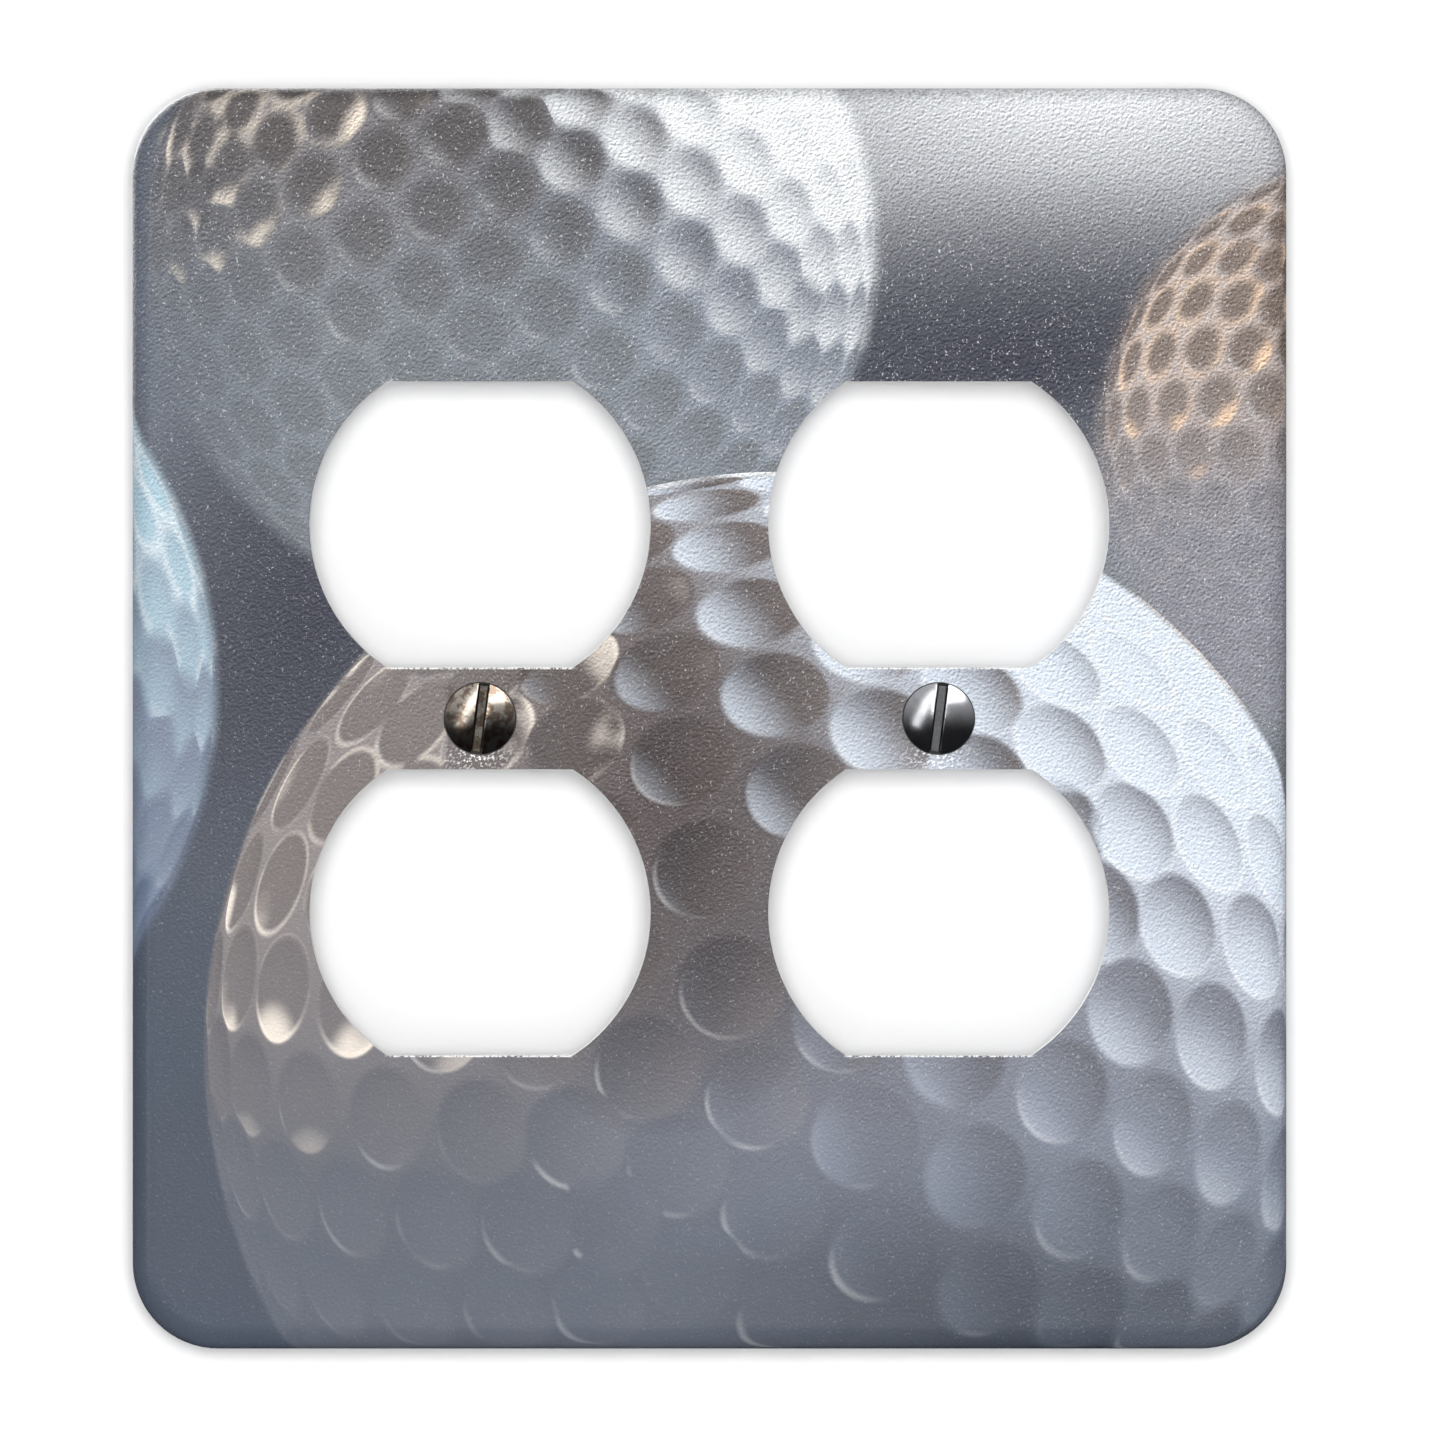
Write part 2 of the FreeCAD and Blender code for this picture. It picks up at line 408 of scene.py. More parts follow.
def cut_slot(mesh, screw, top, across):
    """Cut the driver slot through the head. `across` points over the slot's width."""
    half = mm(screw.slot_width) / 2
    floor_y = top + mm(screw.slot_depth)
    everything = lambda: list(mesh.verts) + list(mesh.edges) + list(mesh.faces)
    for side in (-1, 1):
        bmesh.ops.bisect_plane(
            mesh, geom=everything(), dist=1e-4, plane_co=across * (side * half), plane_no=across
        )
    bmesh.ops.bisect_plane(
        mesh, geom=everything(), dist=1e-4, plane_co=(0, floor_y, 0), plane_no=(0, 1, 0)
    )
    waste = []
    for face in mesh.faces:
        middle = face.calc_center_median()
        if abs(middle.dot(across)) < half and middle.y < floor_y:
            waste.append(face)
    bmesh.ops.delete(mesh, geom=waste, context="FACES")
    open_edges = [edge for edge in mesh.edges if edge.is_boundary]
    corners = {}
    for edge in open_edges:
        for vert in edge.verts:
            side = 1 if vert.co.dot(across) > 0 else -1
            on_wall = abs(abs(vert.co.dot(across)) - half) < 1e-3
            if on_wall and abs(vert.co.y - floor_y) < 1e-3:
                corners.setdefault(side, set()).add(vert)
    floor_edges = []
    lips = []
    for side in (-1, 1):
        first, second = corners[side]
        foot = mesh.edges.new((first, second))
        floor_edges.append(foot)
        wall = [foot]
        for edge in open_edges:
            if all(abs(vert.co.dot(across) - side * half) < 1e-3 for vert in edge.verts):
                wall.append(edge)
        lips.extend(wall[1:])
        bmesh.ops.contextual_create(mesh, geom=wall)
    floor_edges.extend(
        edge for edge in open_edges
        if all(abs(vert.co.y - floor_y) < 1e-3 and abs(vert.co.dot(across)) < half + 1e-3 for vert in edge.verts)
    )
    bmesh.ops.contextual_create(mesh, geom=floor_edges)
    return lips


def head_mesh(mesh, screw, top, across):
    """The oval head, its cone and the plain neck."""
    head = mm(screw.head) / 2
    land = mm(screw.land)
    dome = mm(screw.dome)
    neck = mm(screw.neck) / 2
    sphere = (head**2 + dome**2) / (2 * dome)
    centre_y = top + sphere
    reach = math.asin(head / sphere)
    face_y = top + dome + land
    neck_y = face_y + (head - neck) / math.tan(math.radians(41))
    crown = mesh.verts.new((0, top, 0))
    arc = bmesh.ops.spin(
        mesh, geom=[crown], cent=(0, centre_y, 0), axis=(0, 0, 1), dvec=(0, 0, 0),
        angle=reach, steps=20, use_merge=False, use_duplicate=False,
    )
    rim = arc["geom_last"][0]
    soft = 0.05
    points = [(head, top + dome + soft), (head, face_y - soft), (head - soft, face_y + soft)]
    points += [(neck, neck_y), (neck, neck_y + mm(screw.neck_length)), (0, neck_y + mm(screw.neck_length))]
    verts, _ = chain(mesh, points)
    mesh.edges.new((rim, verts[0]))
    lathe(mesh, list(mesh.verts) + list(mesh.edges), HEAD_STEPS)
    lips = cut_slot(mesh, screw, top, across)
    round_edges(mesh, lips, 0.06, 2)
    for vert in mesh.verts:
        offset = vert.co - Vector((0, centre_y, 0))
        if abs(offset.length - sphere) < 0.01 and vert.co.y < top + dome:
            vert.co = Vector((0, centre_y, 0)) + offset.normalized() * sphere
    face_outwards(mesh)
    return neck_y + mm(screw.neck_length)


def thread_mesh(screw, neck_end, tip_y):
    """The threaded shank: one pitch of profile wound along the axis, sloped off at both ends."""
    mesh = bmesh.new()
    pitch = mm(screw.pitch)
    outside = mm(screw.thread) / 2
    neck = mm(screw.neck) / 2
    depth = 0.6134 * pitch
    root = outside - depth
    flank = depth * math.tan(math.radians(30))
    root_width = pitch * 7 / 8 - 2 * flank
    overlap = 0.04
    start_y = neck_end - overlap
    turns = math.ceil((tip_y - start_y) / pitch) + 4
    groove_y = neck_end + pitch / 2
    first_y = groove_y - root_width / 2 - 2 * pitch
    points = [
        (root, first_y),
        (root, first_y + root_width),
        (outside - 0.03, first_y + root_width + flank * 0.94),
        (outside, first_y + root_width + flank + 0.02),
        (outside, first_y + pitch - flank - 0.02),
        (outside - 0.03, first_y + pitch - flank * 0.94),
        (root, first_y + pitch),
    ]
    verts, edges = chain(mesh, points)
    bmesh.ops.spin(
        mesh, geom=verts + edges, cent=(0, 0, 0), axis=(0, 1, 0), dvec=(0, pitch / THREAD_STEPS, 0),
        angle=math.tau * turns, steps=THREAD_STEPS * turns, use_merge=False, use_duplicate=False,
    )
    bmesh.ops.remove_doubles(mesh, verts=mesh.verts, dist=1e-3)
    shoulder_y = neck_end + outside - neck
    chamfer_y = tip_y - mm(screw.tip_chamfer)
    cuts = ((start_y, -1, True), (tip_y, 1, True), (shoulder_y, 1, False), (chamfer_y, 1, False))
    for y, facing, clear in cuts:
        cut = bmesh.ops.bisect_plane(
            mesh, geom=list(mesh.verts) + list(mesh.edges) + list(mesh.faces), dist=1e-5,
            plane_co=(0, y, 0), plane_no=(0, facing, 0), clear_outer=clear,
        )
        if clear:
            ends = [item for item in cut["geom_cut"] if isinstance(item, bmesh.types.BMEdge)]
            bmesh.ops.contextual_create(mesh, geom=ends)
    for vert in mesh.verts:
        radius = math.hypot(vert.co.x, vert.co.z)
        limit = outside - max(vert.co.y - chamfer_y, 0.0) - max(shoulder_y - vert.co.y, 0.0)
        if radius > limit:
            vert.co.x *= limit / radius
            vert.co.z *= limit / radius
    face_outwards(mesh)
    return mesh


def screw_mesh(screw, centre_x, slot_tilt):
    """One slotted oval-head screw, seated in the plate."""
    mesh = bmesh.new()
    steel_y = mm(SHELL_LOW.y)
    top = steel_y - mm(screw.land) - mm(screw.dome)
    across = Vector((math.cos(slot_tilt), 0, -math.sin(slot_tilt)))
    neck_end = head_mesh(mesh, screw, top, across)
    shank = thread_mesh(screw, neck_end, steel_y + mm(screw.total))
    data = bpy.data.meshes.new("shank")
    shank.to_mesh(data)
    shank.free()
    mesh.from_mesh(data)
    bpy.data.meshes.remove(data)
    bmesh.ops.translate(mesh, vec=(centre_x, 0, 0), verts=mesh.verts)
    return mesh


# ---------------------------------------------------------------- shading

class Value:
    """A socket of a node tree. Arithmetic on it adds Math nodes, or Vector Math nodes for vectors."""

    def __init__(self, tree, socket):
        self.tree = tree
        self.socket = socket

    def node(self, kind, settings=None, sockets=None, output=0):
        """Add a node of this type, with these properties and inputs, and return one of its outputs."""
        return add_node(self.tree, kind, settings, sockets, output)

    def sum(self, operation, *others, output=0):
        """This value and others through one Math or Vector Math node."""
        values = (self,) + others
        kind = "ShaderNodeMath"
        if any(is_vector(value) for value in values):
            kind = "ShaderNodeVectorMath"
            values = [value if isinstance(value, (Value, tuple)) else (value,) * 3 for value in values]
        return self.node(kind, {"operation": operation}, dict(enumerate(values)), output)

    def __add__(self, other):
        return self.sum("ADD", other)

    def __radd__(self, other):
        return self.sum("ADD", other)

    def __mul__(self, other):
        return self.sum("MULTIPLY", other)

    def __rmul__(self, other):
        return self.sum("MULTIPLY", other)

    def __sub__(self, other):
        return self.sum("SUBTRACT", other)

    def __rsub__(self, other):
        return (self * -1) + other

    def __truediv__(self, other):
        return self.sum("DIVIDE", other)

    def __rtruediv__(self, other):
        return (self ** -1) * other

    def __pow__(self, other):
        return self.sum("POWER", other)

    def __neg__(self):
        return self * -1

    def __abs__(self):
        return self.sum("ABSOLUTE")

    def dot(self, other):
        return self.sum("DOT_PRODUCT", other, output=1)

    def length(self):
        return self.node("ShaderNodeVectorMath", {"operation": "LENGTH"}, {0: self}, 1)

    def part(self, axis):
        """One component of a vector."""
        return self.node("ShaderNodeSeparateXYZ", None, {0: self}, "XYZ".index(axis))

    def step(self, low, high):
        """Rise smoothly from 0 at `low` to 1 at `high`."""
        return self.node(
            "ShaderNodeMapRange", {"interpolation_type": "SMOOTHSTEP"}, {0: self, 1: low, 2: high}
        )

    def blend(self, first, second):
        """From the first vector or colour to the second as this value goes from 0 to 1."""
        return self.node("ShaderNodeMix", {"data_type": "VECTOR"}, {0: self, 4: first, 5: second}, 1)

    def turn(self, rotation, back=False):
        """A vector turned by these XYZ angles."""
        return self.node(
            "ShaderNodeVectorRotate", {"rotation_type": "EULER_XYZ", "invert": back},
            {"Vector": self, "Rotation": rotation},
        )

    def noise(self, scale, detail=2.0, roughness=0.5):
        """Soft noise from 0 to 1 at this place."""
        return self.node(
            "ShaderNodeTexNoise", None,
            {"Vector": self, "Scale": scale, "Detail": detail, "Roughness": roughness},
        )

    def pool(self, centre, size, tilt=0.0):
        """A soft round pool of influence in a picture whose plane is XZ: 1 at its centre, 0 at its edge."""
        placed = self.node(
            "ShaderNodeMapping", {"vector_type": "TEXTURE"},
            {
                "Vector": self, "Location": (centre[0], 0.0, centre[1]),
                "Rotation": (0.0, math.radians(tilt), 0.0), "Scale": (size[0], 1.0, size[1]),
            },
        )
        return self.node("ShaderNodeTexGradient", {"gradient_type": "QUADRATIC_SPHERE"}, {0: placed}, 1)


def is_vector(value):
    return isinstance(value, tuple) or (isinstance(value, Value) and value.socket.type in ("VECTOR", "RGBA"))


def add_node(tree, kind, settings=None, sockets=None, output=0):
    """Add a node to a tree, set its properties, feed its inputs and return one of its outputs."""
    node = tree.nodes.new(kind)
    for name, value in (settings or {}).items():
        setattr(node, name, value)
    for key, value in (sockets or {}).items():
        socket = node.inputs[key]
        if isinstance(value, Value):
            tree.links.new(value.socket, socket)
        elif socket.type == "RGBA":
            socket.default_value = (*value[:3], 1.0)
        else:
            socket.default_value = value
    return None if output is None else Value(tree, node.outputs[output])


def paint(red, green, blue):
    """A displayed colour, each part from 0 to 255, as the linear colour that shaders use."""
    parts = (red / 255, green / 255, blue / 255)
    return tuple(part / 12.92 if part <= 0.04045 else ((part + 0.055) / 1.055) ** 2.4 for part in parts)


def start_material(name):
    """A new material's tree and its place and normal inputs, in millimetres from the frame's origin."""
    material = bpy.data.materials.new(name)
    material.use_nodes = True
    material.node_tree.nodes.clear()
    tree = material.node_tree
    place = add_node(tree, "ShaderNodeTexCoord", output=3)
    normal = add_node(tree, "ShaderNodeTexCoord", output=1)
    return material, tree, place * (1 / METRES), normal


def finish_material(tree, sockets, bump=None, strength=0.2, distance=0.0001):
    """A Principled surface with these inputs, and a bump from a height if one is given."""
    if bump is not None:
        sockets["Normal"] = bump.node(
            "ShaderNodeBump", None, {"Height": bump, "Strength": strength, "Distance": distance}
        )
    surface = add_node(tree, "ShaderNodeBsdfPrincipled", None, sockets)
    add_node(tree, "ShaderNodeOutputMaterial", None, {"Surface": surface}, None)


# The picture printed on the film: four dimpled practice balls, near and far, in a grey room.
# Far ones come first. Centres (across, up) and radii are in millimetres. `turning` turns the
# dimples, `blur` softens the outline, `rim` holds the cosines where a dimple is full and where it
# has ended, and `hollow` is how deeply it curves. `dish` is how much lighter dimples are above and
# below, `window` where window light starts and is full, `glow` and `glint` the strengths of lamp
# light and its glints. The tones are for shade, window, lamp, the underside and glints.
BALLS = (
    {
        "centre": (-93.9, 2.9), "radius": 44.3, "turning": (0.2, 1.0, 0.7),
        "blur": 0.02, "rim": (0.9985, 0.9925), "hollow": 3.2, "dish": (-0.25, -0.12),
        "window": (0.42, 1.0), "glow": 0.3, "glint": 0.3,
        "tones": ((98, 114, 138), (178, 208, 222), (140, 152, 168), (100, 116, 142), (200, 210, 220)),
    },
    {
        "centre": (69.3, 26.9), "radius": 30.1, "turning": (0.7, 0.1, 1.3),
        "blur": 0.05, "rim": (0.9988, 0.9935), "hollow": 4.6, "dish": (-0.62, -0.1),
        "window": (0.42, 0.96), "glow": 0.8, "glint": 0.9,
        "tones": ((144, 130, 126), (205, 198, 194), (208, 194, 186), (146, 148, 158), (252, 216, 182)),
    },
    {
        "centre": (-20.0, 47.0), "radius": 36.6, "turning": (1.1, 0.4, 0.2),
        "blur": 0.03, "rim": (0.9988, 0.993), "hollow": 4.2, "dish": (-0.58, -0.2),
        "window": (0.26, 0.86), "glow": 0.45, "glint": 1.0,
        "tones": ((118, 119, 127), (250, 253, 255), (134, 125, 121), (130, 137, 145), (248, 234, 216)),
    },
    {
        "centre": (7.1, -33.3), "radius": 57.7, "turning": (0.35, 0.2, 0.5),
        "blur": 0.006, "rim": (0.9968, 0.9948), "hollow": 5.0, "dish": (-0.3, 0.06),
        "window": (0.42, 0.96), "glow": 0.5, "glint": 1.0,
        "tones": ((116, 111, 114), (226, 236, 249), (172, 161, 157), (98, 104, 116), (252, 240, 226)),
    },
)

HAZY = BALLS[-2]
NEAREST = BALLS[-1]

# The dimples lie on a globe divided like a football: every one is a mirror image of one of these few.
GLOBE_CORNERS = (Vector((0.5257, 0, 0.8507)), Vector((-0.5257, 0, 0.8507)), Vector((0, 0.8507, 0.5257)))
GLOBE_STEPS = ((6, 0, 0), (5, 1, 0), (4, 2, 0), (3, 3, 0), (4, 1, 1), (3, 2, 1), (2, 2, 2))
GLOBE_MIRROR = Vector((-0.5, -0.809017, 0.309017))

# Directions towards the lights in the picture: a large window and a warm lamp.
WINDOW_LIGHT = (0.69, -0.1, 0.71)
LAMP_LIGHT = (-0.735, -0.5, 0.457)
SKY_LIGHT = (0.87, -0.43, 0.22)


def dimple_centres():
    """Directions of the dimples that all the others mirror."""
    for steps in GLOBE_STEPS:
        spot = sum((corner * share for corner, share in zip(GLOBE_CORNERS, steps)), Vector())
        yield tuple(spot.normalized())


def dimpled_normal(facing, turning, inner, outer, hollow):
    """Normals of a dimpled ball, and how much of a dimple each point lies in.

    `facing` is the smooth ball's normal. A dimple is full where the cosine of the angle from its
    centre is above `inner` and has ended at `outer`; `hollow` is how deeply it curves.
    """
    mirror = tuple(GLOBE_MIRROR)
    back = tuple(GLOBE_MIRROR * -2)
    folded = facing.turn(turning)
    folds = []
    for _ in range(5):
        signs = folded.sum("SIGN").sum("MULTIPLY_ADD", (1.0, 1.0, 0.0), (0.0, 0.0, 1.0))
        folded = folded * signs
        behind = folded.dot(mirror).sum("MINIMUM", 0.0)
        folds.append((signs, behind.sum("LESS_THAN", 0.0)))
        folded = behind.sum("MULTIPLY_ADD", back, folded)
    towards = None
    share = None
    inside = None
    for spot in dimple_centres():
        near = folded.dot(spot)
        mask = near.step(outer, inner)
        if towards is None:
            towards, share, inside = mask * spot, mask * near, mask
        else:
            towards = mask.sum("MULTIPLY_ADD", spot, towards)
            share = mask.sum("MULTIPLY_ADD", near, share)
            inside = inside + mask
    bent = folded * (1.0 - share * hollow) + towards * hollow
    for signs, flag in reversed(folds):
        bent = (bent.dot(mirror) * flag).sum("MULTIPLY_ADD", back, bent) * signs
    return bent.turn(turning, back=True).sum("NORMALIZE"), inside


def printed_room(spot):
    """The blurred grey room behind the balls."""
    dark = paint(58, 60, 74)
    room = spot.pool((38, 64), (95, 31)).blend(paint(84, 88, 98), paint(250, 252, 255))
    room = (spot.pool((30, 36), (50, 19), -4) ** 0.5).blend(room, dark)
    room = (spot.pool((48, 6), (36, 28), 10) ** 0.5).blend(room, paint(150, 155, 162))
    room = (spot.pool((-60, 40), (22, 44)) ** 0.5).blend(room, paint(112, 119, 131))
    room = (spot.pool((-40, 10), (24, 28), 20) ** 0.4).blend(room, dark)
    room = (spot.pool((-56, -34), (40, 34)) ** 0.5).blend(room, paint(78, 88, 103))
    return (spot.pool((-50, -66), (46, 24)) ** 0.5).blend(room, paint(82, 91, 107))


def printed_picture(spot):
    """Colour of the print at a place: (across, 0, up) in millimetres."""
    places = []
    offset = turning = rim = None
    for ball in BALLS:
        across, up = ball["centre"]
        here = (spot - (across, 0.0, up)) * (1 / ball["radius"])
        distance = here.length()
        places.append(distance)
        rim_here = (*ball["rim"], ball["hollow"])
        if offset is None:
            offset, turning, rim = here, ball["turning"], rim_here
            continue
        # A nearer ball hides those behind it.
        on_ball = distance.sum("LESS_THAN", 1.0 + ball["blur"])
        offset = on_ball.blend(offset, here)
        turning = on_ball.blend(turning, ball["turning"])
        rim = on_ball.blend(rim, rim_here)

    # The lens loses the lower half of the balls.
    rim = offset.part("Z").step(0.0, -0.55).blend(rim, (0.9975, 0.9944, 3.8))
    height = (1.0 - offset.dot(offset)).sum("MAXIMUM", 0.0).sum("SQRT")
    facing = (offset - height * (0.0, 1.0, 0.0)).sum("NORMALIZE")
    normal, inside = dimpled_normal(facing, turning, rim.part("X"), rim.part("Y"), rim.part("Z"))

    to_window = normal.dot(WINDOW_LIGHT)
    to_lamp = normal.dot(LAMP_LIGHT)
    below = facing.dot((0.0, 0.0, -1.0)).step(-0.45, 0.35)
    sky = normal.dot(SKY_LIGHT).step(0.45, 1.0) * 0.4
    glow = to_lamp.step(0.4, 1.0) * (1.0 - below * 0.84)
    edge = inside * (1.0 - inside).sum("MAXIMUM", 0.0) * 4.0
    # A dimple's far wall faces a light more than the ball does there.
    lamp_wall = to_lamp - facing.dot(LAMP_LIGHT)
    window_wall = to_window - facing.dot(WINDOW_LIGHT)
    glint = edge * to_lamp.step(0.88, 0.99) * 0.45 + lamp_wall.step(0.02, 0.1) * to_lamp.step(0.9, 0.99)
    glint = glint * facing.dot(LAMP_LIGHT).step(0.72, 0.93) * spot.noise(0.17, 1.0).step(0.34, 0.56)
    uneven = spot.noise(0.11, 1.0).step(0.35, 0.65)
    crescent = edge * (to_window.step(0.6, 0.95) * 0.4 + window_wall.step(0.1, 0.32) * uneven * 0.35)

    picture = printed_room(spot)
    for distance, ball in zip(places, BALLS):
        shade, lit, warm, under, shine = (paint(*tone) for tone in ball["tones"])
        upper, lower = ball["dish"]
        tone = (glow * ball["glow"]).blend(below.blend(shade, under), warm)
        tone = tone * (inside * (below * (lower - upper) + upper) * (0.94, 1.0, 1.05) + 1.0)
        tone = sky.blend(tone, paint(168, 178, 196))
        if ball is NEAREST:
            tone = (spot.pool((-5, -8), (22, 34)) ** 0.3).blend(tone, tone * (0.36, 0.31, 0.31))
            tone = (spot.pool((36, -63), (44, 20)) ** 0.5).blend(tone, tone * (0.46, 0.48, 0.5))
            tone = (spot.pool((12, -41), (34, 15)) ** 0.5).blend(tone, tone * (1.42, 1.42, 1.45))
        window = to_window.step(*ball["window"]) * (1.0 - below * 0.35)
        tone = crescent.blend(window.blend(tone, lit), (1.0, 1.0, 1.0))
        tone = (glint * ball["glint"]).blend(tone, shine)
        if ball is HAZY:
            tone = (spot.pool((-55, 30), (18, 34)) ** 0.5 * 0.75).blend(tone, paint(96, 103, 115))
        picture = distance.step(1.0 + ball["blur"], 1.0 - ball["blur"]).blend(picture, tone)
    return picture * 0.78


def pebbled(place):
    """The clear coat's fine orange peel, a little longer one way than the other."""
    return (place.turn((0.0, 0.5, 0.0)) * (1.0, 1.0, 1.35)).noise(2.7, 2.0, 0.55)


def thrown_light(spot):
    """Where painted light, as if thrown by the screw heads, falls on the film below them."""
    return spot.pool((-23.3, -3.9), (5.5, 2.6)) + spot.pool((22.9, -3.9), (5.5, 2.6))


def painted_edge_highlight(spot, plate):
    """A painted highlight: the thin pale line along the bottom edge of each opening, where the film's cut edge
    faces light from above.
    """
    across, up = spot.part("X"), spot.part("Z")
    off_axis = abs(abs(across) - mm(plate.gang_spacing) / 2)
    half_flats = mm(plate.outlet_flats) / 2
    flat = math.sqrt((mm(plate.outlet_diameter) / 2) ** 2 - half_flats**2)
    painted_line = 0.0
    for level in (-1, 1):
        edge = level * mm(plate.outlet_spacing) / 2 - half_flats
        painted_line = abs(up - (edge - 0.1)).step(0.16, 0.05) + painted_line
    return painted_line * off_axis.step(flat + 0.5, flat - 0.5)


def print_material(outlets):
    """The film: a printed picture under a clear, slightly pebbled gloss coat, with painted shading, sparkles and
    highlights added to its colour.
    """
    material, tree, place, normal = start_material("Printed film")
    behind_face = place.part("Y") - mm(PLATE_LOW.y)
    spot = (place + normal * behind_face) * (1.0, 0.0, 1.0)
    picture = printed_picture(spot)

    pebbles = pebbled(place)
    lit_side = (spot.part("Z") + spot.part("X") * 0.5).step(-70.0, 70.0)
    # Painted shading: light from above picks out the upper side of every pebble, painted into the colour, most
    # strongly on the upper right.
    painted_pebble_shading = pebbles - pebbled(place + (-0.07, 0.0, 0.13))
    picture = picture * (1.0 + painted_pebble_shading * (0.12 + lit_side * 2.2))
    # Painted highlights: pale sparkles, most on the upper right, and light thrown by the screw heads onto the
    # film below them.
    painted_head_light = thrown_light(spot)
    grains = place.noise(4.4, 1.0, 0.5)
    painted_sparkles = grains.step(0.64, 0.78) * (0.05 + lit_side * 0.4) + pebbles.step(0.5, 0.66) * painted_head_light * 1.3
    picture = painted_sparkles.blend(picture, (1.0, 1.0, 1.0))
    # Painted highlight: a pale line along the bottom edge of each opening.
    picture = (painted_edge_highlight(spot, outlets) * grains.step(0.4, 0.55) * 0.85).blend(picture, (0.95, 0.95, 0.95))
    wear = place.noise(0.12, 4.0, 0.6)
    finish_material(
        tree,
        {
            "Base Color": picture, "Roughness": 0.2 + wear * 0.1, "IOR": 1.45,
            "Coat Weight": 0.04 + wear * 0.08, "Coat Roughness": 0.12,
        },
        bump=pebbles * (0.3 + lit_side * 0.9), strength=1.0, distance=0.00014,
    )
    return material


def coat_material(finishes):
    """The plate's own baked coat: pale, peeled like an orange, greyer where it was punched and rubbed, with a
    painted shadow round each screw seat.
    """
    material, tree, place, normal = start_material("Baked coat")
    peel = place.noise(1.6, 3.0, 0.5)
    rub = place.noise(0.16, 5.0, 0.65).step(0.55, 0.75)
    cut = 1.0 - abs(normal.part("Y")).step(0.25, 0.6)
    base = tuple(finishes.coat)
    tone = (rub * 0.35).blend(base, tuple(part * 0.8 for part in base))
    tone = (cut * 0.5 * (0.6 + peel * 0.8)).blend(tone, (0.56, 0.56, 0.55))
    seat = ((abs(place.part("X")) - 23.0) * (1.0, 0.0, 0.0) + place * (0.0, 0.0, 1.0)).length()
    behind = normal.part("Y").step(-0.1, 0.2)
    # Painted shadow: near black round each screw seat on the front, where the head's rim shades the coat.
    tone = (seat.step(4.6, 3.7) * (1.0 - behind)).blend(tone, (0.035, 0.034, 0.033))
    tone = (seat.step(4.9, 4.2) * behind * (0.3 + rub * 0.5)).blend(tone, (0.3, 0.295, 0.285))
    finish_material(
        tree, {"Base Color": tone, "Roughness": 0.36 + peel * 0.1 + rub * 0.15},
        bump=peel, strength=0.3, distance=0.00006,
    )
    return material


def nickel_material(finishes):
    """Bright nickel plating: turned rings, fine scratches and smears, with painted reflections tinting the heads
    and painted shade in the slot and the thread's roots.
    """
    material, tree, place, normal = start_material("Nickel plating")
    side = place.part("X").step(-1.0, 1.0)
    centred = place - (side * 46.0 - 23.0) * (1.0, 0.0, 0.0)
    around = (centred * (1.0, 0.0, 1.0)).length()
    rings = (around * 0.5 + place.noise(0.4) * 0.02).node(
        "ShaderNodeTexNoise", {"noise_dimensions": "1D"}, {"W": around, "Scale": 14.0, "Detail": 3.0}
    )
    grain = (place.turn((0.0, 0.6, 0.0)) * (6.0, 6.0, 0.7)).noise(1.6, 3.0, 0.6)
    smear = place.noise(0.45, 4.0, 0.6)
    # Painted reflection: the left head is tinted warm and the right one cool, standing in for the print's
    # colours reflected in them.
    warm = tuple(part * tint for part, tint in zip(finishes.nickel, (1.0, 0.93, 0.84)))
    cool = tuple(part * tint for part, tint in zip(finishes.nickel, (0.94, 0.98, 1.06)))
    tone = side.blend(warm, cool)
    tone = (smear.step(0.5, 0.75) * 0.5).blend(tone, tuple(part * 0.55 for part in finishes.nickel))
    # Painted reflection: brown patches on the left head, standing in for the print's browns reflected in it.
    left_head_brown_reflection = (1.0 - side) * (place * (1.0, 1.0, 1.0)).noise(0.9, 3.0, 0.6).step(0.45, 0.6) * 0.75
    tone = left_head_brown_reflection.blend(tone, (0.2, 0.115, 0.065))
    lean = math.radians(7)
    across = abs(centred.dot((math.cos(lean), 0.0, -math.sin(lean))))
    below_top = place.part("Y") - mm(SCREW_LOW.y)
    # Painted shade on the slot's floor, darkest along the foot of its walls.
    slot_floor_shade = below_top.step(1.2, 1.36) * below_top.step(1.75, 1.55)
    tone = (slot_floor_shade * (0.35 + across.step(0.3, 0.44) * 0.65)).blend(tone, (0.014, 0.013, 0.012))
    # Painted shade in the roots of the thread.
    thread_root_shade = below_top.step(3.2, 3.8) * around.step(1.66, 1.3)
    tone = (thread_root_shade * 0.7).blend(tone, (0.12, 0.105, 0.09))
    finish_material(
        tree,
        {"Base Color": tone, "Metallic": 1.0, "Roughness": 0.13 + grain * 0.06 + smear * 0.05},
        bump=rings * 0.6 + grain * 0.4, strength=0.16, distance=0.00003,
    )
    return material


# ---------------------------------------------------------------- stage

def stage_plane(name, width, depth, place, material):
    """One flat piece of the stage."""
    mesh = bmesh.new()
    bmesh.ops.create_grid(mesh, x_segments=1, y_segments=1, size=0.5, matrix=place)
    data = bpy.data.meshes.new(name)
    bmesh.ops.scale(mesh, vec=(width, 1, 1), verts=mesh.verts)
    mesh.to_mesh(data)
    mesh.free()
    data.materials.append(material)
    plane = bpy.data.objects.new(name, data)
    bpy.context.scene.collection.objects.link(plane)
    return plane


